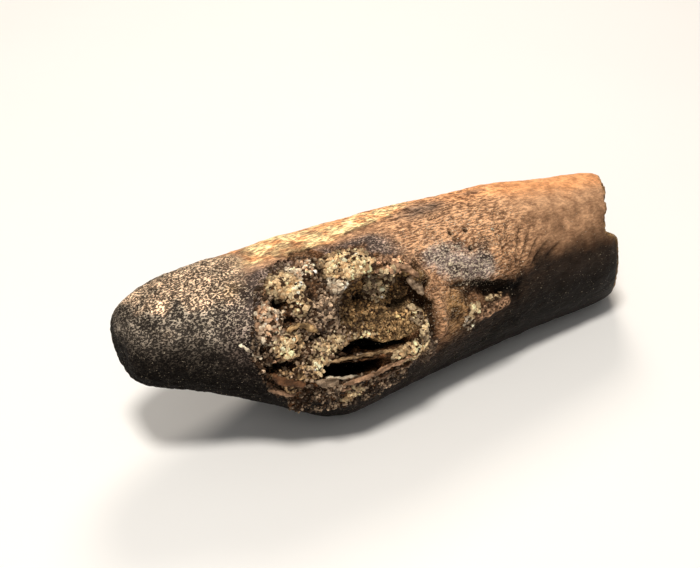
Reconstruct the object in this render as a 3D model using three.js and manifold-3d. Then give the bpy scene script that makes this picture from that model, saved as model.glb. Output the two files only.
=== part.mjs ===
// A worn piece of a fossil claw, lying on a flat surface: one solid, in millimetres.
//
// +X runs from the blunt rounded end to the broken far end, -Y is the side with the broken face,
// and +Z is up. The origin is on the resting surface, under the middle of the piece.
// The body is a loft through hand-set sections. Its thick middle has broken open on the -Y side:
// a crumbled dish, a deeper bowl, and two slits with a thin bar of bone between them are cut into
// it. A pit, two sheath grooves and a stepped, slanting break finish the far half. The underside
// is worn flat in two small patches where the piece rests.
import * as THREE from "three";
import { mergeVertices } from "three/addons/utils/BufferGeometryUtils.js";
import Module from "manifold-3d";

const wasm = await Module();
wasm.setup();

const BLUNT_END = -33.7;
const BROKEN_END = 29.9; // on the middle of the slanting break
const BREAK_SLANT = 0.5; // how far the break runs along X for each millimetre across it
const BREAK_LEAN = 0.14; // how far it runs along X for each millimetre downwards
const SLANT_START = 12; // where along X the slant and the lean begin to build up
const STEPS_ALONG = 56;
const STEPS_ROUND = 52;
const BLUNT_ROUNDING = 5.0; // 2 is an ellipse's end, and higher is flatter
const BREAK_ROUNDING = 18;
const REST_HEIGHT = 0.35; // how much of the underside is worn away where it rests
const GROUND_SIZE = [100, 60, 10];
const CUTTER_STEPS = 24;

// Each section's place along X, the middle of it, and how far the bone reaches from there towards
// the front (-Y), the back (+Y), up and down. squareness 2 is an ellipse, and higher is boxier.
const SECTIONS = [
  { x: -34, y: 2.3, z: 13.4, front: 5.2, back: 5.8, up: 6.2, down: 5.2, squareness: 2.3 },
  { x: -26, y: 1.9, z: 12.7, front: 6.8, back: 7.2, up: 6.8, down: 6.0, squareness: 2.4 },
  { x: -20, y: 1.3, z: 11.9, front: 9.0, back: 8.2, up: 7.5, down: 8.0, squareness: 2.4 },
  { x: -13, y: 1.3, z: 11.3, front: 10.9, back: 8.6, up: 8.1, down: 11.3, squareness: 2.3 },
  { x: -3, y: 1.3, z: 10.7, front: 9.6, back: 8.4, up: 8.6, down: 10.7, squareness: 2.3 },
  { x: 12, y: 1.3, z: 9.9, front: 7.7, back: 7.2, up: 8.6, down: 9.7, squareness: 2.3 },
  { x: 30, y: 1.3, z: 9.2, front: 6.4, back: 5.8, up: 6.6, down: 9.5, squareness: 2.15 },
];
const MEASURES = ["y", "z", "front", "back", "up", "down", "squareness"];

// The hollows of the broken face: the middle of each, its half sizes along its own axes, and how
// far it is turned about X, then Y, then Z, in degrees.
const HOLLOWS = {
  crumbledDish: { middle: [-14.2, -11.0, 14.6], half: [14.0, 4.2, 10.4], turn: [-22, 0, -12] },
  bowl: { middle: [-8.3, -8.6, 15.5], half: [6.2, 5.4, 3.8], turn: [-6, 8, 4] },
  upperSlit: { middle: [-11.2, -8.3, 11.2], half: [3.9, 4.8, 0.6], turn: [-6, 6, 0] },
  lowerSlit: { middle: [-13.2, -7.9, 9.5], half: [3.8, 4.8, 0.75], turn: [-6, 3, -6] },
  crumbHole: { middle: [-19.1, -4.7, 17.4], half: [1.1, 1.0, 0.9], turn: [0, 0, 0] },
  lowerCrumbHole: { middle: [-20.3, -7.1, 12.0], half: [1.9, 1.3, 0.8], turn: [0, 0, -20] },
  sidePit: { middle: [5.3, -7.6, 12.2], half: [4.2, 1.8, 1.3], turn: [0, 14, 6] },
};

// The grooves that held the claw's sheath, one on each side, running out at the far end.
const GROOVE_PATHS = [
  [[2, -10.2, 11.4], [12, -7.9, 11.8], [22, -7.1, 12.2], [34, -5.6, 12.4]],
  [[-4, 11.6, 10.6], [8, 10.0, 10.8], [20, 8.9, 11.2], [36, 7.6, 11.6]],
];
const GROOVE_RADIUS = 1.7;
const GROOVE_SIDES = 12;
const GROOVE_STEPS = 14;

// What has broken off above the groove at the far end.
const STEP_SIZE = [6, 34, 16];
const STEP_MIDDLE = [32.3, 0.9, 15.95];
const STEP_TURN = [-30, 15, -32];

const sectionCurve = new THREE.CubicInterpolant(
  SECTIONS.map((section) => section.x),
  SECTIONS.flatMap((section) => MEASURES.map((name) => section[name])),
  MEASURES.length,
);

function sectionAt(x) {
  const values = sectionCurve.evaluate(x);
  return Object.fromEntries(MEASURES.map((name, i) => [name, values[i]]));
}

const signedPower = (value, power) => Math.sign(value) * Math.abs(value) ** power;

// The loft: a sphere's rows of vertices become the sections, and its poles the two ends.
function clawBody() {
  const geometry = new THREE.SphereGeometry(1, STEPS_ROUND, STEPS_ALONG);
  const position = geometry.getAttribute("position");
  const point = new THREE.Vector3();
  for (let i = 0; i < position.count; i++) {
    point.fromBufferAttribute(position, i);
    const along = THREE.MathUtils.clamp(point.y, -1, 1);
    const rounding = along < 0 ? BLUNT_ROUNDING : BREAK_ROUNDING;
    const shrink = Math.max(0, 1 - Math.abs(along) ** rounding) ** (1 / rounding);
    const x = THREE.MathUtils.mapLinear(along, -1, 1, BLUNT_END, BROKEN_END);
    const section = sectionAt(x);
    const build = THREE.MathUtils.smoothstep(x, SLANT_START, BROKEN_END);
    const length = Math.hypot(point.x, point.z) || 1;
    const power = 2 / section.squareness;
    const across = signedPower(-point.x / length, power) * shrink;
    const upward = signedPower(point.z / length, power) * shrink;
    const sideways = across * (across < 0 ? section.front : section.back);
    const height = upward * (upward < 0 ? section.down : section.up);
    const shift = build * (BREAK_SLANT * sideways - BREAK_LEAN * height);
    position.setXYZ(i, x + shift, section.y + sideways, section.z + height);
  }
  return geometry;
}

function turned(geometry, turn, middle) {
  const angles = turn.map((degrees) => THREE.MathUtils.degToRad(degrees));
  return geometry
    .applyMatrix4(new THREE.Matrix4().makeRotationFromEuler(new THREE.Euler(...angles, "ZYX")))
    .translate(...middle);
}

function hollow({ middle, half, turn }) {
  const egg = new THREE.SphereGeometry(1, CUTTER_STEPS, CUTTER_STEPS / 2).scale(...half);
  return turned(egg, turn, middle);
}

function groove(points) {
  const outline = new THREE.Shape().absarc(0, 0, GROOVE_RADIUS, 0, 2 * Math.PI);
  const path = new THREE.CatmullRomCurve3(points.map((point) => new THREE.Vector3(...point)));
  return new THREE.ExtrudeGeometry(outline, {
    steps: GROOVE_STEPS,
    curveSegments: GROOVE_SIDES,
    extrudePath: path,
  });
}

function farStep() {
  return turned(new THREE.BoxGeometry(...STEP_SIZE), STEP_TURN, STEP_MIDDLE);
}

// Everything below the resting surface.
function ground() {
  return new THREE.BoxGeometry(...GROUND_SIZE).translate(0, 0, -GROUND_SIZE[2] / 2);
}

// A closed geometry as a solid that can be cut.
function solidOf(geometry) {
  const bare = new THREE.BufferGeometry().setAttribute(
    "position",
    geometry.getAttribute("position").clone(),
  );
  if (geometry.index) bare.setIndex(geometry.index.clone());
  const merged = mergeVertices(bare, 1e-4);
  return new wasm.Manifold(
    new wasm.Mesh({
      numProp: 3,
      vertProperties: new Float32Array(merged.getAttribute("position").array),
      triVerts: new Uint32Array(merged.index.array),
    }),
  );
}

// A solid as a geometry again.
function geometryOf(solid) {
  const mesh = solid.getMesh();
  const geometry = new THREE.BufferGeometry()
    .setAttribute("position", new THREE.BufferAttribute(mesh.vertProperties, mesh.numProp))
    .setIndex(new THREE.BufferAttribute(mesh.triVerts, 1));
  geometry.computeVertexNormals();
  return geometry;
}

// The loft is lowered until the resting surface takes REST_HEIGHT off its underside.
function restingBody() {
  const geometry = clawBody();
  geometry.computeBoundingBox();
  return geometry.translate(0, 0, -geometry.boundingBox.min.z - REST_HEIGHT);
}

// The origin goes under the middle of the piece.
function centred(solid) {
  const { min, max } = solid.boundingBox();
  return solid.translate([-(min[0] + max[0]) / 2, -(min[1] + max[1]) / 2, 0]);
}

const cutters = [
  ...Object.values(HOLLOWS).map(hollow),
  ...GROOVE_PATHS.map(groove),
  farStep(),
  ground(),
];
const cut = cutters.reduce(
  (solid, cutter) => solid.subtract(solidOf(cutter)),
  solidOf(restingBody()),
);

const claw = new THREE.Mesh(
  geometryOf(centred(cut)),
  new THREE.MeshStandardMaterial({ color: 0x7a5a41, roughness: 0.7, metalness: 0 }),
);
claw.name = "claw";

const part = new THREE.Group();
part.add(claw);

export default part;
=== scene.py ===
"""A worn fossil claw, broken open on one side, lying on a pale floor.

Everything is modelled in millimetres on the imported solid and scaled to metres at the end. The bone
is a fine voxel skin over a copy of the solid, worn and pitted by vertex moves. The break is lined
with angular crumbs and sand grains, each a closed shape, with thin bars and plates of bone.
"""
import math
from collections import namedtuple

import bmesh
import bpy
import numpy as np
from mathutils import Matrix, Vector, noise
from mathutils.bvhtree import BVHTree
from mathutils.kdtree import KDTree


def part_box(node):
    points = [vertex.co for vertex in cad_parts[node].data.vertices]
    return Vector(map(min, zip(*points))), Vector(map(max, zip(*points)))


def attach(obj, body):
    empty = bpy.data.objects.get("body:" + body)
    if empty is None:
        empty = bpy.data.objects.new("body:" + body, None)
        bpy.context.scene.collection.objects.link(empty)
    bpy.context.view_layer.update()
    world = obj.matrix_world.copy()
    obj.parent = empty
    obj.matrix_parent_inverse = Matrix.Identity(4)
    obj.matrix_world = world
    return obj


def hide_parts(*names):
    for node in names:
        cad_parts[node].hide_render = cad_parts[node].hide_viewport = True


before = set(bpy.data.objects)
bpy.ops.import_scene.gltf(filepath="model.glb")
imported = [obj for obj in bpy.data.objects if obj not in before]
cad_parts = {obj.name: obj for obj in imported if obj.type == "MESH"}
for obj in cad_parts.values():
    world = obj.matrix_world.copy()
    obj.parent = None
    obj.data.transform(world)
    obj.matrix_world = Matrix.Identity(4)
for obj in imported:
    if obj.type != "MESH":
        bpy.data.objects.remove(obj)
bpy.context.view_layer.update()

MM = 0.001
LOW, HIGH = (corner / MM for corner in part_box("claw"))

# ---------------------------------------------------------------- the camera

VIEW_AZIMUTH = -32.0
VIEW_ELEVATION = 32.0
VIEW_DISTANCE = 150.0
VIEW_LENS = 70.8
VIEW_AIM = (-6.5, 1.1, 13.0)
VIEW_NEAREST = 10.0


def direction(azimuth, elevation):
    """From the claw towards a point at that azimuth (0 is the front) and elevation, in degrees."""
    turn, lift = math.radians(azimuth), math.radians(elevation)
    return Vector((math.sin(turn) * math.cos(lift), -math.cos(turn) * math.cos(lift), math.sin(lift)))


def place_camera():
    data = bpy.data.cameras.new("camera")
    data.lens = VIEW_LENS
    data.clip_start = VIEW_NEAREST * MM
    camera = bpy.data.objects.new("camera", data)
    back = direction(VIEW_AZIMUTH, VIEW_ELEVATION)
    camera.location = (Vector(VIEW_AIM) + VIEW_DISTANCE * back) * MM
    camera.rotation_euler = back.to_track_quat("Z", "Y").to_euler()
    bpy.context.scene.collection.objects.link(camera)
    bpy.context.scene.camera = camera


place_camera()

# ---------------------------------------------------------------- helpers

# The break faces forwards and up. A place on it is (u, v): u along the claw, v up its tilted plane.
BREAK_TILT = math.radians(30)
BREAK_OUT = np.array([0, -math.cos(BREAK_TILT), math.sin(BREAK_TILT)])
BREAK_UP = np.array([0, math.sin(BREAK_TILT), math.cos(BREAK_TILT)])

REGAIN = 1.04  # how much of its smoothing a shape is given back, so that it doesn't shrink


def smooth(low, high, value):
    """0 below low, 1 above high and a smooth step between."""
    t = np.clip((value - low) / (high - low), 0, 1)
    return t * t * (3 - 2 * t)


def roughly(points, size, octaves=3, seed=0, stretch=(1, 1, 1)):
    """Fractal noise from about -1 to 1 whose lumps are about size mm across."""
    offset = Vector((seed * 17.31, seed * -9.73, seed * 5.19))
    scaled = points / (size * np.array(stretch))
    return np.array([noise.fractal(Vector(p) + offset, 0.9, 2.1, octaves) for p in scaled])


def cells(points, size, seed=0):
    """Distance to the nearest of a scatter of points about size mm apart, in sizes."""
    offset = Vector((seed * 7.13, seed * 3.37, seed * -11.9))
    return np.array([noise.voronoi(Vector(p) / size + offset)[0][0] for p in points])


def line_distance(places, corners):
    """Distance from each 2-D place to a line through the corners, and how far along it, 0 to 1."""
    corners = np.array(corners, float)
    best = np.full(len(places), np.inf)
    share = np.zeros(len(places))
    lengths = np.linalg.norm(np.diff(corners, axis=0), axis=1)
    start = 0.0
    for a, b, length in zip(corners[:-1], corners[1:], lengths):
        t = np.clip(((places - a) @ (b - a)) / length**2, 0, 1)
        away = np.linalg.norm(places - (a + t[:, None] * (b - a)), axis=1)
        nearer = away < best
        best[nearer] = away[nearer]
        share[nearer] = ((start + t * length) / lengths.sum())[nearer]
        start += length
    return best, share


def on_break(points):
    """The (u, v) of points near the break."""
    return np.stack([points[:, 0], points @ BREAK_UP], axis=1)


def mixed(a, b, share):
    """Colour a where the share is 0 and colour b where it is 1, for each vertex."""
    return a + (b - a) * share[:, None]


def coordinates(mesh):
    co = np.empty(len(mesh.vertices) * 3, np.float32)
    mesh.vertices.foreach_get("co", co)
    return co.reshape(-1, 3).astype(float)


def normals(mesh):
    no = np.empty(len(mesh.vertices) * 3, np.float32)
    mesh.vertex_normals.foreach_get("vector", no)
    return no.reshape(-1, 3).astype(float)


def move_to(mesh, co):
    mesh.vertices.foreach_set("co", co.astype(np.float32).ravel())
    mesh.update()


def set_value(mesh, name, values):
    attribute = mesh.attributes.new(name, "FLOAT", "POINT")
    attribute.data.foreach_set("value", np.asarray(values, np.float32))


def set_tint(mesh, name, colours):
    attribute = mesh.attributes.new(name, "FLOAT_COLOR", "POINT")
    rgba = np.concatenate([np.clip(colours, 0, 1), np.ones((len(colours), 1))], axis=1)
    attribute.data.foreach_set("color", rgba.astype(np.float32).ravel())


def as_object(bm, name):
    mesh = bpy.data.meshes.new(name)
    bm.to_mesh(mesh)
    bm.free()
    piece = bpy.data.objects.new(name, mesh)
    bpy.context.scene.collection.objects.link(piece)
    return piece


def fused(piece, voxel):
    """The piece's closed shapes melted into one skin of small even faces."""
    remesh = piece.modifiers.new("fuse", "REMESH")
    remesh.mode = "VOXEL"
    remesh.voxel_size = voxel
    piece_now = piece.evaluated_get(bpy.context.evaluated_depsgraph_get())
    mesh = bpy.data.meshes.new_from_object(piece_now)
    piece.modifiers.clear()
    unfused = piece.data
    piece.data = mesh
    bpy.data.meshes.remove(unfused)
    return piece


def relaxed(mesh, co, passes, share, regain=REGAIN):
    """co with its steps smoothed away: each vertex moves part of the way to the middle of its
    neighbours, then regain times as far away from it, which keeps the whole from shrinking."""
    edges = np.empty(len(mesh.edges) * 2, np.int32)
    mesh.edges.foreach_get("vertices", edges)
    a, b = edges[0::2], edges[1::2]
    count = np.bincount(a, minlength=len(co)) + np.bincount(b, minlength=len(co))
    for step in (share, -regain * share) * passes:
        middle = np.empty_like(co)
        for k in range(3):
            total = np.bincount(a, co[b, k], minlength=len(co)) + np.bincount(b, co[a, k], minlength=len(co))
            middle[:, k] = total / count
        co = co + (middle - co) * step[:, None]
    return co


def finished(piece, material, rounded=True):
    """The piece scaled to metres, shaded, painted and riding on the claw's body."""
    piece.data.transform(Matrix.Scale(MM, 4))
    piece.data.materials.clear()
    piece.data.materials.append(material)
    for polygon in piece.data.polygons:
        polygon.use_smooth = rounded
    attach(piece, "root")
    return piece


# ---------------------------------------------------------------- materials


def paint(name):
    material = bpy.data.materials.new(name)
    material.use_nodes = True
    tree = material.node_tree
    tree.nodes.clear()
    shader = tree.nodes.new("ShaderNodeBsdfPrincipled")
    output = tree.nodes.new("ShaderNodeOutputMaterial")
    tree.links.new(shader.outputs[0], output.inputs[0])
    return material, Nodes(tree), shader


class Nodes:
    """Short ways to add and join shader nodes."""

    def __init__(self, tree):
        self.tree = tree
        self.place = tree.nodes.new("ShaderNodeTexCoord").outputs["Object"]

    def add(self, kind, inputs=(), **settings):
        """A new node, with its inputs set to values or joined to sockets."""
        node = self.tree.nodes.new(kind)
        for name, value in settings.items():
            setattr(node, name, value)
        for name, value in dict(inputs).items():
            if isinstance(value, bpy.types.NodeSocket):
                self.tree.links.new(value, node.inputs[name])
            else:
                node.inputs[name].default_value = value
        return node

    def value(self, name):
        """A value that is stored at each vertex."""
        return self.add("ShaderNodeAttribute", attribute_name=name).outputs["Fac"]

    def tint(self, name):
        """A colour that is stored at each vertex."""
        return self.add("ShaderNodeAttribute", attribute_name=name).outputs["Color"]

    def noise(self, size, detail, roughness, stretch=(1, 1, 1), shift=0.0):
        """Noise whose lumps are about size mm across."""
        scale = [1 / (size * MM * longer) for longer in stretch]
        place = self.add(
            "ShaderNodeMapping", {"Vector": self.place, "Scale": scale, "Location": [shift] * 3}
        ).outputs[0]
        noise_node = self.add(
            "ShaderNodeTexNoise",
            {"Vector": place, "Scale": 1.0, "Detail": detail, "Roughness": roughness},
        )
        return noise_node.outputs["Fac"]

    def math(self, operation, a, b=0.0):
        return self.add("ShaderNodeMath", {0: a, 1: b}, operation=operation).outputs[0]

    def total(self, *parts):
        """The sum of sockets, each times its weight."""
        first, *others = [self.math("MULTIPLY", socket, weight) for socket, weight in parts]
        for weighted in others:
            first = self.math("ADD", first, weighted)
        return first

    def ramp(self, value, low, high):
        """0 below low, 1 above high and a smooth step between. The ends may be sockets."""
        return self.add(
            "ShaderNodeMapRange",
            {"Value": value, "From Min": low, "From Max": high},
            interpolation_type="SMOOTHSTEP",
        ).outputs[0]

    def mix(self, share, a, b, blend="MIX"):
        colours = {0: share, 6: a, 7: b}
        node = self.add("ShaderNodeMix", colours, data_type="RGBA", blend_type=blend, clamp_factor=True)
        return node.outputs[2]

    def bump(self, height, depth, strength):
        inputs = {"Height": height, "Distance": depth * MM, "Strength": strength}
        return self.add("ShaderNodeBump", inputs).outputs[0]


def rgb(r, g, b):
    return (r, g, b, 1.0)


# Pairs of shades, dark and light, that a tint is multiplied by
MOTTLE_SHADES = (rgb(0.66, 0.62, 0.6), rgb(1.3, 1.3, 1.28))
# Ridges: partly the bone's own pattern, partly painted shade in grooves and painted highlight on ridges
RIDGE_LIGHT_AND_SHADE = (rgb(0.09, 0.08, 0.08), rgb(2.25, 2.2, 2.1))
STRAND_SHADES = (rgb(0.38, 0.33, 0.31), rgb(1.85, 1.83, 1.76))
GRAIN_SHADES = (rgb(0.6, 0.55, 0.5), rgb(1.25, 1.24, 1.2))

DIRT = rgb(0.010, 0.006, 0.004)
FLECK = rgb(0.78, 0.66, 0.48)
# The colour of the painted shade at a grain's foot
GRAIN_FOOT_SHADE = rgb(0.028, 0.013, 0.005)
FLOOR_TONES = (rgb(0.86, 0.855, 0.845), rgb(0.9, 0.895, 0.885))

# How wide, in mm, the lumps of each pattern are
MOTTLE_SIZE = 1.5
WANDER_SIZE = 0.26
RIDGE_SIZE = 0.2
GAP_SIZE = 0.9
STRAND_SIZE = 0.2
GRIT_SIZE = 0.13
SAND_SIZE = 0.3
SAND_GRIT_SIZE = 0.12
FLOOR_CLOUD_SIZE = 60.0

# How high, in mm, the finest relief of the skin and of the grains is
BONE_RELIEF = 0.2
GRAIN_RELIEF = 0.08


def fine_ridges(nodes):
    """1 on the skin's short wandering ridges, 0 in the grooves between them."""
    wander = nodes.noise(WANDER_SIZE, 1.0, 0.5, stretch=(1.6, 1.0, 1.0), shift=3.1)
    grain = nodes.noise(RIDGE_SIZE, 1.0, 0.6, stretch=(1.5, 1.0, 1.0), shift=1.9)
    gaps = nodes.noise(GAP_SIZE, 4.0, 0.7, shift=5.3)
    from_line = nodes.math("ABSOLUTE", nodes.math("SUBTRACT", wander, 0.5))
    worm = nodes.math("SUBTRACT", 1.0, nodes.ramp(from_line, 0.0, 0.12))
    return nodes.ramp(nodes.total((grain, 0.75), (worm, 0.16), (gaps, 0.25)), 0.54, 0.65)


def shaded(nodes, tint, shades, light):
    """The tint times the dark shade where light is 0, and times the light one where it is 1."""
    return nodes.mix(1.0, tint, nodes.mix(light, *shades), "MULTIPLY")


def with_dirt(nodes, colour, tint, ridge, grit):
    """Specks of dark dirt, thickest in the grooves and where the bone is grimy."""
    grime = nodes.math("MULTIPLY", nodes.value("grime"), 0.3)
    dirt = nodes.ramp(
        nodes.math("SUBTRACT", grit, nodes.math("MULTIPLY", ridge, 0.25)),
        nodes.math("SUBTRACT", 0.66, grime),
        nodes.math("SUBTRACT", 0.78, grime),
    )
    return nodes.mix(nodes.math("MULTIPLY", dirt, 0.6), colour, nodes.mix(0.6, tint, DIRT))


def with_flecks(nodes, colour, ridge, grit):
    """Pale flecks where the tops of the ridges are worn through."""
    pale = nodes.math("MULTIPLY", nodes.value("pale"), 0.22)
    fleck = nodes.ramp(
        nodes.total((ridge, 0.42), (grit, 0.8)),
        nodes.math("SUBTRACT", 0.94, pale),
        nodes.math("SUBTRACT", 1.06, pale),
    )
    return nodes.mix(nodes.math("MULTIPLY", fleck, 0.85), colour, FLECK)


def bone_paint():
    """Fossil bone: stained skin with fine wandering ridges, worn pale and partly painted highlight, with
    dirt and painted shade in the grooves between.
    """
    material, nodes, shader = paint("stained_bone")
    tint = nodes.tint("tint")
    coarse = nodes.value("coarse")
    fibre = nodes.value("fibre")
    mottle = nodes.noise(MOTTLE_SIZE, 5.0, 0.7)
    strands = nodes.noise(STRAND_SIZE, 2.5, 0.65, stretch=(3.6, 1.2, 1.0), shift=2.6)
    grit = nodes.noise(GRIT_SIZE, 1.0, 0.6, shift=7.7)
    ridge = fine_ridges(nodes)
    mottled = shaded(nodes, tint, MOTTLE_SHADES, nodes.ramp(mottle, 0.3, 0.7))
    ridge_lit_and_shaded = shaded(nodes, mottled, RIDGE_LIGHT_AND_SHADE, ridge)
    stringy = shaded(nodes, mottled, STRAND_SHADES, nodes.ramp(strands, 0.4, 0.62))
    colour = nodes.mix(coarse, nodes.mix(fibre, mottled, stringy), ridge_lit_and_shaded)
    colour = with_dirt(nodes, colour, tint, ridge, grit)
    colour = with_flecks(nodes, colour, ridge, grit)
    rough = nodes.math("ADD", nodes.math("MULTIPLY", coarse, 0.9), 0.05)
    height = nodes.math("MULTIPLY", nodes.total((ridge, 1.0), (grit, 0.7)), rough)
    height = nodes.total((height, 1.0), (nodes.math("MULTIPLY", strands, fibre), 1.2))
    dullness = nodes.math("ADD", nodes.total((grit, 0.3), (coarse, 0.2)), 0.38)
    nodes.tree.links.new(colour, shader.inputs["Base Color"])
    nodes.tree.links.new(nodes.bump(height, BONE_RELIEF, 1.0), shader.inputs["Normal"])
    nodes.tree.links.new(dullness, shader.inputs["Roughness"])
    shader.inputs["Specular IOR Level"].default_value = 0.04
    return material


def crumb_paint():
    """Cemented sand and crumbled bone: each grain has its own tone, with painted shade at its foot."""
    material, nodes, shader = paint("cemented_sand")
    tint = nodes.tint("tint")
    fine = nodes.noise(SAND_SIZE, 3.0, 0.6)
    grit = nodes.noise(SAND_GRIT_SIZE, 2.0, 0.6, shift=4.4)
    shade = nodes.mix(nodes.ramp(fine, 0.32, 0.68), *GRAIN_SHADES)
    colour = nodes.mix(0.8, tint, shade, "MULTIPLY")
    colour = nodes.mix(nodes.value("deep"), colour, GRAIN_FOOT_SHADE)
    height = nodes.total((fine, 1.0), (grit, 0.6))
    dullness = nodes.math("ADD", nodes.math("MULTIPLY", grit, 0.4), 0.5)
    nodes.tree.links.new(colour, shader.inputs["Base Color"])
    nodes.tree.links.new(nodes.bump(height, GRAIN_RELIEF, 0.7), shader.inputs["Normal"])
    nodes.tree.links.new(dullness, shader.inputs["Roughness"])
    shader.inputs["Specular IOR Level"].default_value = 0.2
    return material


def floor_paint():
    material, nodes, shader = paint("pale_floor")
    colour = nodes.mix(nodes.noise(FLOOR_CLOUD_SIZE, 2.0, 0.5), *FLOOR_TONES)
    nodes.tree.links.new(colour, shader.inputs["Base Color"])
    shader.inputs["Roughness"].default_value = 0.75
    return material


# ---------------------------------------------------------------- the broken face

BREAK_MIDDLE = np.array([-12.0, 8.8])
BREAK_HALF = np.array([10.3, 8.3])
BOWL_MIDDLE = np.array([-7.2, 9.4])
BOWL_HALF = np.array([5.6, 3.9])

# Places on the break, as (u, v)
RIM_LINE = [(-4.4, 14.2), (-3.1, 13.2), (-2.3, 11.3), (-1.3, 8.3), (-0.7, 5.8), (-0.9, 3.4)]
INNER_WALL = [(-3.6, 11.0), (-2.9, 9.2), (-2.5, 8.0), (-2.2, 6.1), (-2.1, 4.6)]

# The two slits, as (u, v, half the width there)
UPPER_SLIT = [
    (-12.8, 6.1, 0.5),
    (-11.0, 6.2, 0.75),
    (-9.6, 6.05, 0.7),
    (-8.5, 5.55, 0.45),
    (-5.7, 5.15, 0.3),
]
LOWER_SLIT = [
    (-15.3, 5.2, 0.3),
    (-14.2, 4.6, 0.65),
    (-12.6, 4.15, 0.85),
    (-10.3, 3.9, 0.65),
    (-8.9, 3.85, 0.3),
]
SLIT_EDGE = 0.12

# Knolls of cemented crumbs and hollows between them, as (u, v, half length, half height, how far out)
RELIEF = [
    (-17.2, 14.4, 1.9, 1.5, 0.7),
    (-14.2, 15.2, 1.3, 0.9, 0.45),
    (-16.6, 12.2, 1.1, 0.9, 0.6),
    (-20.1, 11.5, 1.4, 1.8, 0.4),
    (-18.5, 8.4, 1.4, 1.2, 0.6),
    (-14.4, 10.2, 1.6, 1.9, 0.25),
    (-9.6, 14.5, 2.9, 1.2, 0.6),
    (-5.6, 12.3, 1.5, 1.2, 0.3),
    (-19.4, 4.7, 1.7, 1.1, 0.35),
    (-5.4, 3.9, 2.0, 0.8, 0.45),
    (-18.6, 13.0, 0.9, 0.7, -1.3),
    (-19.6, 6.8, 2.0, 0.5, -0.9),
    (-17.9, 11.0, 0.9, 0.6, -0.8),
    (-15.3, 12.9, 0.5, 1.2, -0.6),
    (-12.9, 14.6, 0.6, 1.7, -0.8),
    (-15.6, 8.6, 1.2, 0.5, -0.9),
    (-8.7, 10.9, 1.0, 0.6, -0.8),
    (-4.3, 8.9, 1.2, 0.6, -1.0),
    (-11.4, 9.3, 0.7, 0.7, -0.4),
    (-7.3, 7.9, 1.0, 0.35, -0.4),
    (-17.2, 2.5, 1.5, 0.6, -0.4),
    (-21.3, 9.0, 0.5, 1.0, -0.4),
]


def broken_share(points):
    """1 inside the broken face, 0 on sound bone."""
    places = on_break(points)
    reach = (((places - BREAK_MIDDLE) / BREAK_HALF) ** 2).sum(axis=1)
    reach = reach + 0.28 * roughly(points, 3.2, 3, seed=1)
    return (1 - smooth(0.86, 1.0, reach)) * (1 - smooth(0.6, 2.0, points[:, 1]))


def bowl_share(points):
    """1 inside the bowl in the broken face, 0 outside it."""
    places = on_break(points)
    reach = (((places - BOWL_MIDDLE) / BOWL_HALF) ** 2).sum(axis=1)
    return 1 - smooth(0.8, 1.25, reach + 0.15 * roughly(points, 1.5, 2, seed=2))


def slit_share(places, ragged=0.0):
    """1 in the two slits, 0 outside them."""
    share = np.zeros(len(places))
    for slit in (UPPER_SLIT, LOWER_SLIT):
        line = np.array(slit)
        away, _ = line_distance(places, line[:, :2])
        half = np.interp(places[:, 0], line[:, 0], line[:, 2]) + ragged
        share = np.maximum(share, 1 - smooth(-SLIT_EDGE, SLIT_EDGE, away - half))
    return share


def relief(points):
    """How far out the knolls stand, and how deep the hollows are, on the break."""
    places = on_break(points) + 0.3 * roughly(points, 1.2, 2, seed=14)[:, None]
    out_by = np.zeros(len(points))
    for u, v, half_u, half_v, height in RELIEF:
        away = np.hypot((places[:, 0] - u) / half_u, (places[:, 1] - v) / half_v)
        out_by += height * (1 - smooth(0.45, 1.1, away))
    return out_by


# ---------------------------------------------------------------- the bone

BONE_VOXEL = 0.235
SLIT_DEPTH = 2.2
SKIN_PASSES = 14
FAR_END_PASSES = 24
PAST_THE_SOLID = 0.4  # the farthest that the worn skin may reach past the solid's box

# Linear colours of the bone's stains; DARK, BLACK and UMBER also serve as painted shade
TAN = np.array([0.52, 0.30, 0.17])
ORANGE = np.array([0.80, 0.38, 0.17])
YELLOW = np.array([0.90, 0.70, 0.38])
BROWN = np.array([0.235, 0.128, 0.07])
DARK = np.array([0.012, 0.0095, 0.008])
BLACK = np.array([0.003, 0.0025, 0.002])
PURPLE_GREY = np.array([0.35, 0.285, 0.265])
KNOB_GREY = np.array([0.275, 0.235, 0.195])
KNOB_TAN = np.array([0.66, 0.46, 0.31])
DUSKY = np.array([0.17, 0.13, 0.115])
SMOKE = np.array([0.17, 0.12, 0.09])
RUST = np.array([0.14, 0.065, 0.03])
UMBER = np.array([0.052, 0.026, 0.012])

# Linear colours of the sand and crumbs in the break; DUSK also serves as painted shade in the hollows
CREAM = np.array([0.86, 0.68, 0.42])
CHALK = np.array([0.84, 0.72, 0.55])
SAND = np.array([0.56, 0.37, 0.20])
ROSE = np.array([0.68, 0.41, 0.25])
GREY_SAND = np.array([0.37, 0.27, 0.185])
DUSK = np.array([0.13, 0.088, 0.066])
GOLD = np.array([0.34, 0.20, 0.085])
HONEY = np.array([0.52, 0.34, 0.165])
OLIVE = np.array([0.17, 0.11, 0.055])

# Heights of the line, along the claw, under which the bone is painted dark, partly as its own stain and
# partly as painted shade
DARK_LINE_X = [-33.0, -26.0, -20.0, -10.0, -1.0, 5.0, 9.5, 14.0, 24.0, 33.0]
DARK_LINE_Z = [17.7, 16.4, 13.2, 6.5, 9.0, 10.6, 12.4, 13.9, 12.9, 12.2]

# The crest along the top: how far back it lies, along the claw
CREST_X = [-30.0, -17.7, -9.4, -6.9, -1.4, 1.2, 6.0, 14.0]
CREST_Y = [1.8, 1.1, 0.3, 1.2, 1.9, 2.9, 3.7, 4.6]

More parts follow.
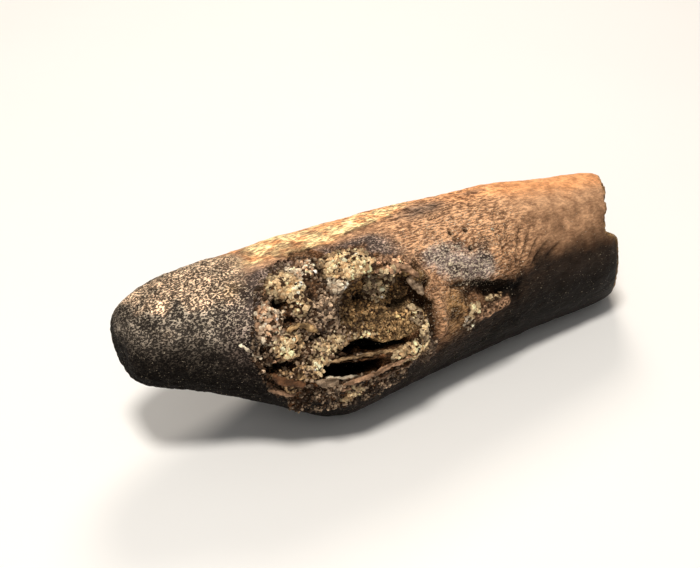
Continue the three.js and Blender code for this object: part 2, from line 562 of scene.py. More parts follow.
# Lines on the break's plane, as (u, v): the middles of the violet patch, the pit, the crack under it
# and its lip
VIOLET_LINE = [(0.4, 12.1), (3.0, 11.2), (6.0, 9.6)]
PIT_LINE = [(1.2, 9.0), (4.5, 8.2), (6.8, 7.3), (10.6, 6.2)]
PIT_CRACK = [(5.9, 6.0), (8.4, 5.6)]
LIP_LINE = [(4.4, 4.8), (6.6, 4.9), (9.0, 5.2)]

# Half the pit's width, along the claw
PIT_X = [1.0, 9.0]
PIT_HALF = [0.7, 1.5]

# The fan of creases as (u, v), and the small holes as (u, v, radius)
CREASE_WIDTH = 0.2
CREASES = [
    [(13.4, 13.4), (12.0, 12.0), (11.0, 10.2), (10.2, 8.0)],
    [(14.2, 12.6), (12.9, 11.2), (11.7, 9.6), (10.8, 8.2)],
    [(14.9, 11.2), (13.4, 10.0), (12.2, 8.6)],
    [(16.6, 10.4), (14.4, 9.4), (12.4, 7.8)],
    [(9.0, 13.2), (9.3, 11.8), (9.1, 10.2)],
    [(18.4, 9.6), (16.2, 8.9), (14.6, 8.2)],
    [(11.2, 13.6), (10.4, 12.6), (9.9, 11.2)],
]
HOLES = [(3.7, 14.4, 0.3), (5.6, 14.2, 0.3), (3.7, 13.6, 0.24), (5.1, 12.2, 0.34)]

# How wide, in mm, the lumps of the skin's roughness are
SWELL_SIZE = 9.0
ROLL_SIZE = 2.6
FINE_SIZE = 0.75
STREAK_SIZE = 0.8
STREAK_STRETCH = (2.6, 1, 1)
KNOB_PIT_SIZE = 0.6
PORE_SIZE = 1.1
CRUMBLE_SIZE = 1.5
FAR_BREAK_SIZE = 1.3
FAR_PORE_SIZE = 0.85

# How far, in mm, the roughness of each part stands out or lies in
SWELL = 0.2
ROLL = 0.1
FAR_SWELL = 0.15
KNOB_FINE = 0.06
KNOB_STREAKS = 0.09
KNOB_PITS = 0.08
SHAFT_FINE = 0.03
SHAFT_STREAKS = 0.06
CRUMBLE = 0.42
CRUMBLE_PORES = 0.3
FAR_BREAK_ROUGH = 0.2
FAR_BREAK_PORES = 0.7

# How far, in mm, each single feature stands out of the skin, or lies in it
STANDS_OUT = {
    "rim": 0.5,
    "inner_wall": -0.35,
    "pit": -0.5,
    "pit_crack": -0.3,
    "lip": 0.4,
    "creases": -0.28,
    "holes": -0.5,
    "crest": 0.13,
}

# The middles and half sizes of oval stains: two from above, as (x, y), and two on the break's plane
CREST_PATCH = ((3.0, 1.6), (3.2, 1.7))
FAR_PATCH = ((10.4, 2.5), (1.9, 0.7))
SADDLE = ((1.2, 6.6), (2.2, 2.4))
KNOB_SPOT = ((-21.8, 15.3), (1.3, 0.9))


def bell(away, width):
    """1 at no distance, falling off smoothly over the width."""
    return np.exp(-((away / width) ** 2))


def reach_in(across, up, middle, half):
    """How far out in an oval each place lies: 0 in its middle and 1 on its edge."""
    return np.hypot((across - middle[0]) / half[0], (up - middle[1]) / half[1])


def oval(across, up, middle, half):
    """1 in most of an oval and 0 outside it, with a soft edge."""
    return np.exp(-(reach_in(across, up, middle, half) ** 3))


def varied(colour, amount):
    """The colour made lighter or darker from place to place."""
    return colour * np.exp(amount)[:, None]


class Skin:
    """The bone's vertices before the wear, and how far each lies in each zone, from 0 to 1."""

    def __init__(self, mesh):
        co = coordinates(mesh)
        self.broken = broken_share(co)
        co = relaxed(mesh, co, SKIN_PASSES, 0.5 * (1 - 0.85 * self.broken))
        co = relaxed(mesh, co, FAR_END_PASSES, 0.5 * smooth(23.0, 26.0, co[:, 0]), regain=0.0)
        move_to(mesh, co)
        self.co = co
        self.out = normals(mesh)
        self.facing_up = self.out[:, 2]
        self.x, self.y, self.z = co.T
        self.places = on_break(co)
        self.fine = roughly(co, FINE_SIZE, 3, seed=4)
        self.front = 1 - smooth(-1.5, 0.5, self.y)
        self.knob = 1 - smooth(-22.5, -17.0, self.x + 1.5 * roughly(co, 3.0, 2, seed=3))
        self.wear = smooth(-8.0, 2.0, self.x) * (1 - smooth(9.0, 18.0, self.x))
        self.far = smooth(4.0, 14.0, self.x)
        self.far_break = smooth(0.35, 0.7, self.out[:, 0]) * smooth(20.0, 22.0, self.x)
        self.sponge = smooth(0.0, 0.28, -roughly(co, FAR_PORE_SIZE, 2, seed=17))
        self.find_break()
        self.find_pit()
        self.find_creases()
        self.find_crest()

    def find_break(self):
        """The slits, the knolls, the rim and wall beside the bowl, and the dusky collar round it all."""
        self.slit = slit_share(self.places, 0.14 * roughly(self.co, 0.7, 2, seed=13)) * self.front
        self.lumps = relief(self.co)
        reach = reach_in(*self.places.T, BREAK_MIDDLE, BREAK_HALF) + 0.1 * roughly(self.co, 2.5, 3, seed=15)
        collar = (1 - smooth(1.1, 1.42, reach)) * (1 - self.broken)
        self.collar = collar * (1 - smooth(-0.8, 0.7, self.y)) * (1 - smooth(-5.0, -1.0, self.x))
        away, along = line_distance(self.places, RIM_LINE)
        self.rim = bell(away, 0.7) * self.front * smooth(0.0, 0.15, along) * (1 - smooth(0.85, 1.0, along))
        away, _ = line_distance(self.places, INNER_WALL)
        self.inner_wall = (1 - smooth(0.35, 0.65, away + 0.15 * self.fine)) * self.front

    def find_pit(self):
        """The wedge-shaped pit beside the break, the crack under it and its raised lip."""
        away, _ = line_distance(self.places, PIT_LINE)
        away = away + 0.5 * roughly(self.co, 1.1, 4, seed=16)
        half = np.interp(self.x, PIT_X, PIT_HALF)
        self.pit = (1 - smooth(0.1 * half, 1.1 * half, away)) * self.front
        away, _ = line_distance(self.places, PIT_CRACK)
        self.pit_crack = (1 - smooth(0.05, 0.4, away)) * self.front
        away, _ = line_distance(self.places, LIP_LINE)
        self.lip = (1 - smooth(0.1, 0.75, away + 0.3 * self.fine)) * self.front

    def find_creases(self):
        """The fan of creases towards the far end, and the four small holes."""
        self.creases = np.zeros(len(self.co))
        for line in CREASES:
            away, along = line_distance(self.places, line)
            crease = bell(away, CREASE_WIDTH) * smooth(0.0, 0.25, along)
            self.creases += crease * (1 - smooth(0.7, 1.0, along)) * self.front
        self.holes = np.zeros(len(self.co))
        for u, v, radius in HOLES:
            away = np.hypot(self.places[:, 0] - u, self.places[:, 1] - v)
            self.holes += bell(away, radius) * self.front

    def find_crest(self):
        """The crest along the top, the thin line on it, and all that lies behind it."""
        crest_y = np.interp(self.x, CREST_X, CREST_Y) + 0.35 * roughly(self.co, 3.0, 3, seed=10)
        from_crest = self.y - crest_y
        crest = bell(from_crest, 0.6) * smooth(0.5, 0.8, self.facing_up) * smooth(-22.0, -16.0, self.x)
        self.crest = crest * (1 - smooth(5.0, 12.0, self.x))
        self.crest_line = self.crest * bell(from_crest, 0.3)
        self.behind = smooth(-0.25, 0.25, from_crest)

    def find_stains(self, co):
        """The stained zones, which follow the worn vertices at co."""
        self.blotch = roughly(co, 4.5, 4, seed=11)
        self.patch = roughly(co, 1.8, 4, seed=12)
        self.lining = bowl_share(co) * self.broken
        self.band = self.behind * smooth(-24.0, -18.0, self.x) * smooth(0.2, 0.6, self.facing_up)
        self.above_line = self.z - np.interp(self.x, DARK_LINE_X, DARK_LINE_Z)
        self.lit = smooth(-2.5, 3.5, self.above_line)
        away, _ = line_distance(self.places, VIOLET_LINE)
        self.violet = (1 - smooth(0.8, 2.6, away + 1.1 * self.patch + 0.5 * self.fine)) * self.front


def skin_height(skin):
    """How far out of its sound shape the skin stands at each vertex."""
    co = skin.co
    streaks = roughly(co, STREAK_SIZE, 3, seed=5, stretch=STREAK_STRETCH)
    from_knob_pit = cells(co, KNOB_PIT_SIZE, seed=1)
    from_pore = cells(co, PORE_SIZE, seed=2)
    height = SWELL * roughly(co, SWELL_SIZE, 2, seed=7) + ROLL * roughly(co, ROLL_SIZE, 3, seed=6)
    height += FAR_SWELL * smooth(6.0, 16.0, skin.x) * smooth(0.3, 0.8, skin.facing_up)
    knob_pits = KNOB_PITS * (1 - smooth(0.15, 0.55, from_knob_pit))
    height += skin.knob * (KNOB_FINE * skin.fine + KNOB_STREAKS * streaks - knob_pits)
    shaft = SHAFT_FINE * skin.fine + SHAFT_STREAKS * streaks * (0.45 + 0.55 * skin.wear)
    height += (1 - skin.knob) * (1 - skin.broken) * shaft
    crumbled = CRUMBLE * roughly(co, CRUMBLE_SIZE, 4, seed=8)
    crumbled -= CRUMBLE_PORES * (1 - smooth(0.2, 0.6, from_pore))
    height += skin.broken * (1 - skin.slit) * crumbled
    far_rough = FAR_BREAK_ROUGH * roughly(co, FAR_BREAK_SIZE, 4, seed=9)
    height += skin.far_break * (far_rough - FAR_BREAK_PORES * skin.sponge)
    for feature, amount in STANDS_OUT.items():
        height += amount * getattr(skin, feature)
    return height


def worn(mesh, skin):
    """Moves the vertices into the bone's worn shape, and returns where they are then."""
    off_floor = smooth(0.0, 0.5, skin.z)
    co = skin.co + skin.out * (skin_height(skin) * off_floor)[:, None]
    co = co + BREAK_OUT * (skin.broken * skin.lumps - SLIT_DEPTH * skin.slit)[:, None]
    co[:, 2] = np.maximum(co[:, 2], 0.0)
    for axis in range(3):
        co[:, axis] = np.clip(co[:, axis], LOW[axis] - PAST_THE_SOLID, HIGH[axis] + PAST_THE_SOLID)
    move_to(mesh, co)
    return co


def top_stains_and_painted_light(tint, skin):
    """Orange on the far top, a yellow band behind the crest, both partly painted highlight, and painted
    shade on the crest.
    """
    x, y, patch, blotch = skin.x, skin.y, skin.patch, skin.blotch
    side = smooth(10.0, 16.0, x) * smooth(0.35, 0.6, -skin.out[:, 1])
    tint = mixed(tint, BROWN * 0.8, side * smooth(-0.35, 0.4, patch + 0.6 * blotch) * 0.6)
    # Orange and yellow on upward-facing skin: partly the bone's stain, partly painted highlight
    top_back = smooth(-1.2, 1.6, y + blotch - 2.4 * (1 - skin.far)) * smooth(0.3, 0.6, skin.facing_up)
    tint = mixed(tint, ORANGE, top_back * (0.3 + 0.7 * skin.far))
    near_band = skin.band * (1 - smooth(1.0, 9.0, x))
    tint = mixed(tint, mixed(ORANGE, YELLOW, smooth(-0.5, 0.25, patch)), near_band)
    tint = mixed(tint, BROWN, near_band * smooth(0.25, 0.5, -blotch) * 0.6)
    # A thin line of painted shade along the raised crest
    crest_shade = skin.crest_line * smooth(-0.5, 0.2, patch) * (1 - smooth(-3.0, 3.0, x))
    tint = mixed(tint, UMBER * 1.6, np.clip(crest_shade * 0.9, 0, 1))
    smoke = oval(x, y, *CREST_PATCH) * smooth(0.4, 0.7, skin.facing_up) + 0.8 * oval(x, y, *FAR_PATCH)
    tint = mixed(tint, SMOKE, np.clip(smoke * (1 + 0.6 * patch), 0, 1) * 0.9)
    return mixed(tint, varied(PURPLE_GREY, 0.9 * patch), 0.9 * skin.violet)


def knob_stains_and_highlight(tint, skin):
    """The grey knob, mottled, with one tan spot, and warmer on top, partly as painted highlight."""
    patch = skin.patch
    tint = mixed(tint, KNOB_GREY, skin.knob)
    # Tan on the knob's upward-facing top: partly its own colour, partly painted highlight
    warm = smooth(0.8, 0.98, skin.facing_up + 0.15 * patch)
    warm += 0.4 * smooth(0.15, 0.5, skin.blotch) * smooth(0.3, 0.6, skin.facing_up)
    tint = mixed(tint, KNOB_TAN, skin.knob * np.clip(warm, 0, 1) * 0.65)
    tint = mixed(tint, tint * 2.2, skin.knob * smooth(0.1, 0.5, patch) * 0.5)
    tint = mixed(tint, tint * 0.45, skin.knob * smooth(0.1, 0.5, -patch) * 0.6)
    spot = bell(reach_in(*skin.places.T, *KNOB_SPOT), 1.0) * skin.front
    return mixed(tint, HONEY, 0.8 * np.clip(spot * (1 + patch), 0, 1))


def collar_stain_and_low_shade(tint, skin):
    """The dusky collar round the break, and the dark and black lower side, partly the bone's stain and
    partly painted shade.
    """
    knob = skin.knob
    tint = mixed(tint, varied(DUSKY, 0.8 * skin.patch), 0.95 * skin.collar)
    edge = skin.above_line + 1.2 * skin.blotch + 0.5 * skin.patch
    # Dark and black low down: partly the bone's stain, partly painted shade
    tint = mixed(tint, DARK, 0.94 * (1 - smooth(-2.0 - 1.5 * knob, 1.2 + 1.2 * knob, edge)))
    return mixed(tint, BLACK, 0.8 * (1 - smooth(-6.0, -2.0, skin.above_line)))


def pit_stains_and_shade(tint, skin):
    """The golden saddle beside the break, the pit painted black as painted shade, and its rosy lip."""
    patch = skin.patch
    saddle = oval(*skin.places.T, *SADDLE) * skin.front
    tint = mixed(tint, varied(GOLD * 0.75, 0.7 * patch), 0.85 * saddle)
    tint = mixed(tint, UMBER, 0.8 * saddle * smooth(0.25, 0.5, -patch))
    # Painted shade: the pit's recess painted black
    tint = mixed(tint, BLACK, 0.95 * skin.pit)
    return mixed(tint, varied(ROSE * 0.7, 1.1 * patch), 0.9 * skin.lip)


def break_stains_and_shade(tint, skin):
    """The tan rim, the umber and rusty break, the honey-brown bowl, and painted shade in the hollows, on the
    inner wall and in the slits.
    """
    patch, broken = skin.patch, skin.broken
    tint = mixed(tint, TAN * 0.85, 0.85 * skin.rim * smooth(-0.6, 0.1, patch + 0.4))
    tint = mixed(tint, UMBER, broken * (0.75 + 0.25 * smooth(-0.2, 0.2, patch)))
    tint = mixed(tint, RUST * 1.6, broken * smooth(0.0, 0.4, patch) * 0.7)
    tint = mixed(tint, mixed(UMBER, HONEY * 0.7, smooth(-0.5, 0.3, patch)), skin.lining)
    # Painted shade: black in the hollows between the knolls, dark umber on the wall inside the rim, black in
    # the slits
    tint = mixed(tint, BLACK, broken * smooth(0.0, 0.5, -skin.lumps) * 0.8)
    tint = mixed(tint, UMBER * 0.8, skin.inner_wall)
    return mixed(tint, BLACK * 0.6, skin.slit)


def far_stains_and_shade(tint, skin):
    """The golden far break with its dark pores, and painted shade in the small holes and the creases."""
    tint = mixed(tint, mixed(GOLD, HONEY, smooth(-0.4, 0.4, skin.patch)), skin.far_break * 0.95)
    tint = mixed(tint, UMBER * 0.6, skin.far_break * skin.sponge * 0.95)
    # Painted shade in the small holes and along the creases
    tint = mixed(tint, BLACK, np.clip(skin.holes * 1.3, 0, 1))
    return mixed(tint, DARK, np.clip(skin.creases * 0.5, 0, 1))


def stained(mesh, skin):
    """Paints the bone's stains, with painted shade and painted highlight, as the point colours tint."""
    # Brown low and tan high, darker towards the bottom: partly the bone's stain, partly painted shade
    up = skin.z + 1.3 * skin.blotch + 0.5 * skin.patch
    tint = mixed(BROWN, TAN, smooth(11.5, 16.5, up))
    for stains in (top_stains_and_painted_light, knob_stains_and_highlight, collar_stain_and_low_shade, pit_stains_and_shade, break_stains_and_shade, far_stains_and_shade):
        tint = stains(tint, skin)
    set_tint(mesh, "tint", tint)


def weathered(mesh, skin):
    """Writes how grimy, pale, coarse and fibrous the skin is at each vertex."""
    knob, collar, band, lit, violet = skin.knob, skin.collar, skin.band, skin.lit, skin.violet
    before = 1 - skin.behind
    front_wear = skin.wear * skin.front
    grime = 0.25 + 0.55 * knob + 0.5 * collar + 0.3 * violet
    grime += 0.35 * front_wear * before - 0.35 * band - 0.2 * skin.far
    pale = 0.05 + 0.75 * np.maximum(knob, 0.3 * collar) * lit
    pale += 0.5 * violet + 0.45 * front_wear * lit - 0.1 * skin.far
    coarse = np.maximum(knob, 0.7 * collar) * (0.8 + 0.2 * lit)
    coarse += 0.5 * skin.broken + 0.5 * skin.far_break + 0.45 * violet
    coarse += 0.5 * skin.wear * before * smooth(0.15, 0.5, -skin.patch)
    fibre = 0.25 + 0.35 * (1 - skin.far) + 0.6 * skin.wear * (1 - 0.4 * band) + 0.2 * band
    set_value(mesh, "grime", np.clip(grime, 0, 1))
    set_value(mesh, "pale", np.clip(pale, 0, 1))
    set_value(mesh, "coarse", np.clip(coarse, 0, 1))
    set_value(mesh, "fibre", np.clip(fibre, 0, 1) * (1 - knob) * (1 - skin.broken))


def worn_bone():
    """The claw's bone: a fine skin over a copy of its solid, worn, stained and painted with shade and
    highlight.
    """
    bm = bmesh.new()
    bm.from_mesh(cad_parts["claw"].data)
    bmesh.ops.remove_doubles(bm, verts=bm.verts, dist=1e-6)
    bmesh.ops.scale(bm, verts=bm.verts, vec=(1 / MM,) * 3)
    bone = fused(as_object(bm, "bone"), BONE_VOXEL)
    skin = Skin(bone.data)
    skin.find_stains(worn(bone.data, skin))
    stained(bone.data, skin)
    weathered(bone.data, skin)
    return bone


# ---------------------------------------------------------------- crumbs in the break

BATCH = 80  # grains made together, because a bmesh operator slows down as its mesh grows
GRAIN_CORNERS = 12
WELL_OUTSIDE = 30.0

# How far crumbs keep from the slits, how wide their heaps are, and how thin a heap is left bare
SLIT_MARGIN = 0.08
HEAP_SIZE = 1.0
BARE_UNDER = -0.45

# How far a crumb stands out, and how far its corners are moved, in radii of its own
STANDS_BY = 0.3
CORNER_MOVE = 0.2

# A crumb's least stretch along each of its axes, and how much more it may have
LEAST_STRETCH = 0.55
MORE_STRETCH = 0.9

DARK_CRUMBS = 0.17  # the share of crumbs painted dark umber, partly dark grains and partly painted shade between grains
TONE_SPREAD = 0.35
# How high above the bone a grain's painted foot shade reaches, in mm, and how dark it is
FOOT_HEIGHT = 0.2
FOOT_DARKNESS = 0.85

# A bed of crumbs: its middle and half sizes as (u, v), how many crumbs it is made of, their least and
# greatest radius, how high they pile up, and the two tones that they vary between
Bed = namedtuple("Bed", "at half number grain pile dark light")

# Wide thin beds line the bone, and smaller, thicker ones make the knolls and the loose grains
LEFT_BEDS = [
    Bed((-15.5, 9.3), (6.9, 7.6), 3400, (0.08, 0.22), 0.25, UMBER * 1.3, GREY_SAND * 1.25),
    Bed((-17.2, 14.4), (1.9, 1.5), 520, (0.13, 0.3), 0.6, SAND, CREAM),
    Bed((-14.4, 15.4), (1.9, 0.9), 260, (0.12, 0.27), 0.4, ROSE, CHALK),
    Bed((-16.6, 12.2), (1.0, 0.9), 200, (0.13, 0.3), 0.7, SAND, CREAM),
    Bed((-20.1, 11.4), (1.6, 2.2), 520, (0.13, 0.32), 0.45, ROSE, CHALK),
    Bed((-18.5, 8.5), (1.7, 1.4), 360, (0.14, 0.32), 0.7, SAND, CREAM),
    Bed((-14.5, 10.0), (1.8, 2.6), 480, (0.11, 0.25), 0.3, DUSK * 0.8, GREY_SAND * 1.5),
    Bed((-14.3, 7.4), (2.0, 1.0), 280, (0.12, 0.28), 0.45, SAND * 0.7, CREAM),
    Bed((-16.0, 5.6), (1.2, 1.3), 240, (0.12, 0.26), 0.4, SAND, CREAM),
    Bed((-19.0, 5.6), (2.2, 2.0), 320, (0.1, 0.22), 0.2, OLIVE, SAND),
    Bed((-11.6, 1.6), (7.0, 1.5), 1300, (0.07, 0.19), 0.12, DUSK * 0.3, GREY_SAND * 1.5),
    Bed((-12.6, 1.5), (1.2, 0.8), 110, (0.14, 0.26), 0.3, SAND, CREAM),
]
RIGHT_BEDS = [
    # The first bed, the bowl's upper lining, and the dusky bed at its upper left are dark partly as painted
    # shade under the overhang
    Bed((-8.3, 10.6), (5.4, 2.4), 2400, (0.07, 0.18), 0.15, OLIVE * 0.4, GOLD * 1.5),
    Bed((-7.4, 8.4), (4.6, 1.5), 1200, (0.06, 0.15), 0.1, OLIVE, HONEY),
    Bed((-6.8, 7.0), (4.4, 1.3), 1500, (0.06, 0.15), 0.1, GOLD, HONEY * 1.4),
    Bed((-12.6, 11.2), (1.6, 2.0), 420, (0.1, 0.24), 0.3, DUSK, GREY_SAND),
    Bed((-9.8, 14.6), (3.2, 1.4), 1250, (0.12, 0.29), 0.8, SAND * 1.2, CREAM),
    Bed((-12.0, 13.0), (1.2, 0.8), 180, (0.13, 0.3), 0.7, GREY_SAND, CHALK),
    Bed((-6.2, 11.6), (1.5, 1.9), 380, (0.13, 0.28), 1.2, GREY_SAND, CREAM),
    Bed((-5.4, 13.2), (2.4, 1.0), 300, (0.12, 0.26), 0.35, ROSE * 0.7, ROSE * 1.2),
    Bed((-10.6, 6.8), (2.6, 0.5), 190, (0.1, 0.22), 0.3, SAND, CREAM),
    Bed((-3.4, 6.2), (0.7, 2.2), 260, (0.12, 0.26), 0.4, GREY_SAND, CREAM),
    Bed((-5.2, 3.9), (2.6, 1.1), 460, (0.12, 0.28), 0.5, SAND, CREAM),
    Bed((-2.8, 3.4), (1.5, 1.6), 260, (0.1, 0.22), 0.2, DUSK, GREY_SAND),
    Bed((3.9, 5.7), (0.9, 0.9), 30, (0.16, 0.36), 0.3, SAND, CREAM),
    Bed((1.6, 11.3), (0.22, 0.16), 14, (0.12, 0.2), 0.02, CHALK, CHALK * 1.1),
    Bed((8.9, 13.4), (0.2, 0.12), 8, (0.1, 0.16), 0.02, CHALK, CHALK * 1.1),
    Bed((7.6, 6.1), (1.5, 0.35), 60, (0.1, 0.24), 0.1, SAND, CREAM),
    Bed((3.2, 4.4), (0.8, 0.8), 60, (0.1, 0.22), 0.1, GREY_SAND, CHALK),
    Bed((6.4, 5.0), (2.6, 0.6), 120, (0.07, 0.16), 0.05, ROSE * 0.5, ROSE),
    Bed((-10.3, 9.9), (1.9, 1.5), 300, (0.1, 0.25), 0.5, GOLD * 0.8, HONEY * 1.3),
    Bed((-7.2, 8.8), (1.6, 0.5), 110, (0.1, 0.22), 0.5, GOLD * 0.8, HONEY * 1.3),
    Bed((-4.6, 7.4), (1.3, 0.9), 140, (0.1, 0.22), 0.35, GOLD * 0.8, HONEY * 1.15),
]


def surface_of(mesh):
    """The mesh's faces, ready for finding where a line meets them."""
    bm = bmesh.new()
    bm.from_mesh(mesh)
    tree = BVHTree.FromBMesh(bm)
    bm.free()
    return tree


def landed(tree, places):
    """Where straight lines into the break, one at each (u, v), meet the surface, its normals there,
    and which of the lines do meet it."""
    points = []
    facing = []
    met = []
    for i, (u, v) in enumerate(places):
        start = Vector((u, 0, 0)) + Vector(BREAK_UP) * v + Vector(BREAK_OUT) * WELL_OUTSIDE
        hit, normal, _, _ = tree.ray_cast(start, -Vector(BREAK_OUT))
        if hit is not None:
            points.append(hit)
            facing.append(normal)
            met.append(i)
    return np.array(points), np.array(facing), met


def gathered(whole, part):
    """Adds a bmesh to the whole one, and frees it."""
    mesh = bpy.data.meshes.new("part")
    part.to_mesh(mesh)
    part.free()
    whole.from_mesh(mesh)
    bpy.data.meshes.remove(mesh)


def bed_crumbs(tree, bed, rng):
    """The middles, radii, tones and heights above the bone of a bed's crumbs."""
    angle = rng.random(bed.number) * 2 * math.pi
    spread = rng.random(bed.number) ** 0.5
    places = np.stack([np.cos(angle), np.sin(angle)], axis=1) * spread[:, None] * bed.half + bed.at
    inside = slit_share(places, SLIT_MARGIN) < 0.5
    points, out, met = landed(tree, places[inside])
    spread = spread[inside][met]
    heap = roughly(points, HEAP_SIZE, 3, seed=20)
    hollow = smooth(0.1, 0.6, -relief(points))
    kept = (heap > BARE_UNDER) & (rng.random(len(points)) > 0.75 * hollow)
    points, out, heap, spread, hollow = points[kept], out[kept], heap[kept], spread[kept], hollow[kept]
    low, high = bed.grain
    radii = low + (high - low) * rng.random(len(points)) ** 1.7
    dome = (1 - spread**2) * (0.6 + 0.8 * heap) * rng.random(len(points)) ** 0.6
    lift = bed.pile * np.clip(dome, 0, 1) + STANDS_BY * radii
    middles = points + (0.6 * out + 0.4 * BREAK_OUT) * lift[:, None]
    # Crumbs on lower heaps, in the hollows and low in the pile are darker: partly their own tones, partly
    # painted shade between grains
    share = smooth(-0.5, 0.5, heap + 0.4 * rng.normal(size=len(points)))
    colours = mixed(bed.dark, bed.light, share)
    colours = colours * np.exp(TONE_SPREAD * rng.normal(size=(len(points), 1)))
    colours = mixed(colours, DUSK * 0.3, 0.75 * hollow)
    colours *= (0.55 + 0.6 * smooth(0.0, 0.5 * bed.pile + 0.1, lift))[:, None]
    colours[rng.random(len(points)) < DARK_CRUMBS] = UMBER
    return middles, radii, colours, lift


def crumbs(name, beds, tree, seed):
    """Angular grains, each its own closed shape, with a tone of its own and painted shade at its foot."""
    rng = np.random.default_rng(seed)
    made = [bed_crumbs(tree, bed, rng) for bed in beds]
    middles, radii, colours, lift = (np.concatenate(part) for part in zip(*made))
    whole = bmesh.new()
    for first in range(0, len(middles), BATCH):
        batch = bmesh.new()
        for middle, radius in zip(middles[first : first + BATCH], radii[first : first + BATCH]):
            turn = Matrix.Rotation(rng.random() * 2 * math.pi, 4, Vector(rng.normal(size=3)))
            halves = radius * (LEAST_STRETCH + MORE_STRETCH * rng.random(3))
            place = Matrix.Translation(middle) @ turn @ Matrix.Diagonal((*halves, 1))
            bmesh.ops.create_icosphere(batch, subdivisions=1, radius=1, matrix=place)
        gathered(whole, batch)
    piece = as_object(whole, name)
    co = coordinates(piece.data)
    each = np.repeat(np.arange(len(middles)), GRAIN_CORNERS)
    co = co + rng.normal(size=co.shape) * CORNER_MOVE * radii[each][:, None]
    move_to(piece.data, co)
    set_tint(piece.data, "tint", colours[each])
    # Painted shade at each grain's foot, where it meets the bone
    above = lift[each] + (co - middles[each]) @ BREAK_OUT
    set_value(piece.data, "deep", FOOT_DARKNESS * (1 - smooth(0.0, FOOT_HEIGHT, above)))
    return piece


# ---------------------------------------------------------------- bars and plates of bone in the break

SLIVER_VOXEL = 0.11
SLIVER_ROUGHNESS = 0.13
SLIVER_GRAIN = (2.2, 1, 1)
LUMP_STEP = 0.13
LUMP_HALF_LENGTH = 0.28
LUMP_WANDER = 0.05
LUMP_SWELL = 0.14
LUMPS_AT_MOST = 4000

# A sliver of bone: its path as (u, v), how far it stands out from the face around it, half its width
# and half how far it runs into the break, and its tone
Sliver = namedtuple("Sliver", "path stand half tone")

SLIVERS = [
    # the bar between the two slits
    Sliver(
        [(-15.6, 5.8), (-12.6, 5.32), (-11.1, 5.15), (-8.7, 4.72), (-6.0, 4.5)],
        0.05, (0.11, 0.7), SAND * 0.6,
    ),
    # a crumb standing on the bar
    Sliver([(-12.3, 5.9), (-11.9, 5.3)], 0.2, (0.2, 0.25), ROSE * 1.2),
    # the plate at the left of the lower slit
    Sliver([(-16.3, 3.9), (-15.3, 3.5), (-14.3, 3.4)], 0.25, (0.42, 0.6), GREY_SAND * 0.8),
    # the white edge under the lower slit
    Sliver([(-14.9, 3.95), (-13.2, 3.4), (-11.8, 3.2)], 0.3, (0.13, 0.5), CHALK * 0.8),
    # the ledge below it
    Sliver(
        [(-13.6, 2.9), (-11.8, 2.8), (-10.0, 2.9), (-7.4, 3.2), (-4.6, 3.4)],
        0.15, (0.17, 0.6), ROSE * 0.6,
    ),
    # the lowest ledge
    Sliver([(-14.4, 2.4), (-12.0, 2.1), (-9.3, 2.1), (-5.1, 2.5)], 0.0, (0.15, 0.5), ROSE * 0.35),
    # the honey-brown shard
    Sliver([(-18.3, 10.1), (-17.3, 10.4), (-16.4, 10.0), (-15.5, 9.2)], 0.45, (0.26, 0.5), HONEY * 0.8),
    # the rusty lump low on the left
    Sliver([(-20.7, 5.9), (-19.6, 5.1), (-18.6, 4.6), (-17.9, 4.3)], 0.05, (0.45, 0.45), RUST * 0.85),
    # the edge under it
    Sliver([(-20.9, 4.6), (-19.7, 3.9), (-18.6, 3.4)], 0.15, (0.25, 0.4), ROSE * 0.5),
    # the edge above it
    Sliver([(-20.8, 7.6), (-19.4, 7.5), (-18.0, 7.0)], 0.3, (0.14, 0.4), ROSE * 0.6),
    # the white thread on the knob
    Sliver([(-23.4, 10.2), (-22.8, 9.5), (-22.2, 8.8), (-21.5, 8.1)], 0.02, (0.07, 0.12), CHALK),
    # the big cream grain by the pit
    Sliver([(3.5, 5.75), (4.1, 5.6)], 0.15, (0.3, 0.3), CREAM),
    # the grey flake at the bowl's upper right
    Sliver([(-3.5, 11.1), (-3.1, 10.6), (-2.6, 9.8)], 0.55, (0.8, 0.26), GREY_SAND * 0.9),
    # the curled edge above it
    Sliver([(-5.0, 13.1), (-3.7, 12.3), (-2.9, 11.4)], 0.2, (0.3, 0.4), ROSE * 0.55),
]


def sliver_lumps(tree, sliver, rng):
    """The middles and sizes of the overlapping lumps that make up one sliver."""
    ends, _, _ = landed(tree, sliver.path)
    level = np.median(ends @ BREAK_OUT) + sliver.stand
    corners = ends + np.outer(0.7 * (level - ends @ BREAK_OUT) + 0.3 * sliver.stand, BREAK_OUT)
    lengths = np.linalg.norm(np.diff(corners, axis=0), axis=1)
    reached = np.concatenate([[0], np.cumsum(lengths)])
    along = np.arange(0, reached[-1], LUMP_STEP)
    middles = np.stack([np.interp(along, reached, corners[:, k]) for k in range(3)], axis=1)
    middles += LUMP_WANDER * rng.normal(size=middles.shape)
    wide, deep = sliver.half
    swell = 0.8 + 0.2 * np.sin(math.pi * along / reached[-1]) + LUMP_SWELL * rng.normal(size=len(along))
    length = np.full(len(along), LUMP_HALF_LENGTH)
    return middles, np.stack([length, deep * swell, wide * swell], axis=1)


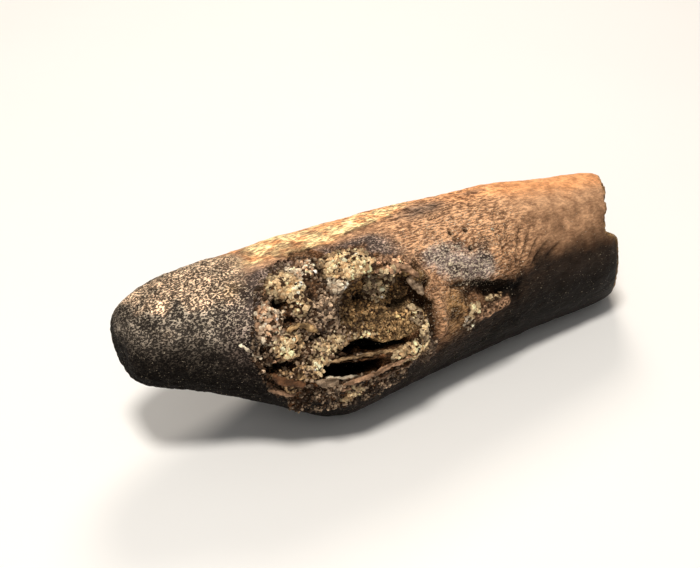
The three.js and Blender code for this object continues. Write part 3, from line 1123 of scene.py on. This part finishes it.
def slivers(tree):
    """The bars, plates and edges of bone in the break, each melted together from small lumps."""
    rng = np.random.default_rng(11)
    tilt = Matrix.Rotation(-BREAK_TILT, 4, "X")
    whole = bmesh.new()
    near = KDTree(LUMPS_AT_MOST)
    tones = []
    for sliver in SLIVERS:
        part = bmesh.new()
        for middle, size in zip(*sliver_lumps(tree, sliver, rng)):
            place = Matrix.Translation(middle) @ tilt @ Matrix.Diagonal((*size, 1))
            bmesh.ops.create_icosphere(part, subdivisions=2, radius=1, matrix=place)
            near.insert(middle, len(tones))
            tones.append(sliver.tone)
        gathered(whole, part)
    near.balance()
    piece = fused(as_object(whole, "slivers"), SLIVER_VOXEL)
    mesh = piece.data
    co = relaxed(mesh, coordinates(mesh), 2, np.full(len(mesh.vertices), 0.5))
    move_to(mesh, co)
    rough = roughly(co, 0.5, 3, seed=23, stretch=SLIVER_GRAIN)
    co = co + normals(mesh) * (SLIVER_ROUGHNESS * rough)[:, None]
    move_to(mesh, co)
    colours = np.array(tones)[[near.find(Vector(p))[1] for p in co]]
    colours = colours * np.exp(0.8 * roughly(co, 0.7, 3, seed=24, stretch=SLIVER_GRAIN))[:, None]
    set_tint(mesh, "tint", colours)
    # Painted shade in the slivers' dents, where the roughness sinks in
    set_value(mesh, "deep", 0.6 * (1 - smooth(-0.25, 0.05, rough)))
    return piece


bone = worn_bone()
break_surface = surface_of(bone.data)
grains = [
    crumbs("left_crumbs", LEFT_BEDS, break_surface, seed=7),
    crumbs("right_crumbs", RIGHT_BEDS, break_surface, seed=8),
]
bars = slivers(break_surface)

finished(bone, bone_paint())
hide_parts("claw")
sand = crumb_paint()
finished(bars, sand)
for piece in grains:
    finished(piece, sand, rounded=False)

# ---------------------------------------------------------------- floor and light

FLOOR_HALF = 900.0
STUDIO_COLOUR = rgb(1.0, 0.98, 0.95)
STUDIO_STRENGTH = 0.2
LIGHT_AIM = (0, 0, 10)

# Each light's azimuth and elevation in degrees, distance and width, power in watts, and colour
LIGHTS = {
    "key": (-50, 68, 330, 70, 0.9, (1.0, 0.95, 0.88)),
    "back": (150, 45, 330, 130, 0.5, (1.0, 0.91, 0.8)),
    "front_fill": (-40, 35, 420, 300, 0.18, (1.0, 0.97, 0.93)),
}


def lay_floor():
    bm = bmesh.new()
    bmesh.ops.create_grid(bm, x_segments=2, y_segments=2, size=FLOOR_HALF * MM)
    floor = as_object(bm, "floor")
    floor.data.materials.append(floor_paint())


def soft_light(name, azimuth, elevation, distance, size, power, colour):
    data = bpy.data.lights.new(name, "AREA")
    data.shape = "DISK"
    data.size = size * MM
    data.energy = power
    data.color = colour
    lamp = bpy.data.objects.new(name, data)
    towards = direction(azimuth, elevation)
    lamp.location = (Vector(LIGHT_AIM) + distance * towards) * MM
    lamp.rotation_euler = towards.to_track_quat("Z", "Y").to_euler()
    bpy.context.scene.collection.objects.link(lamp)


def light_scene():
    world = bpy.data.worlds.new("studio")
    world.use_nodes = True
    background = world.node_tree.nodes["Background"]
    background.inputs["Color"].default_value = STUDIO_COLOUR
    background.inputs["Strength"].default_value = STUDIO_STRENGTH
    bpy.context.scene.world = world
    for name, light in LIGHTS.items():
        soft_light(name, *light)


lay_floor()
light_scene()
bpy.context.scene.view_settings.view_transform = "Standard"
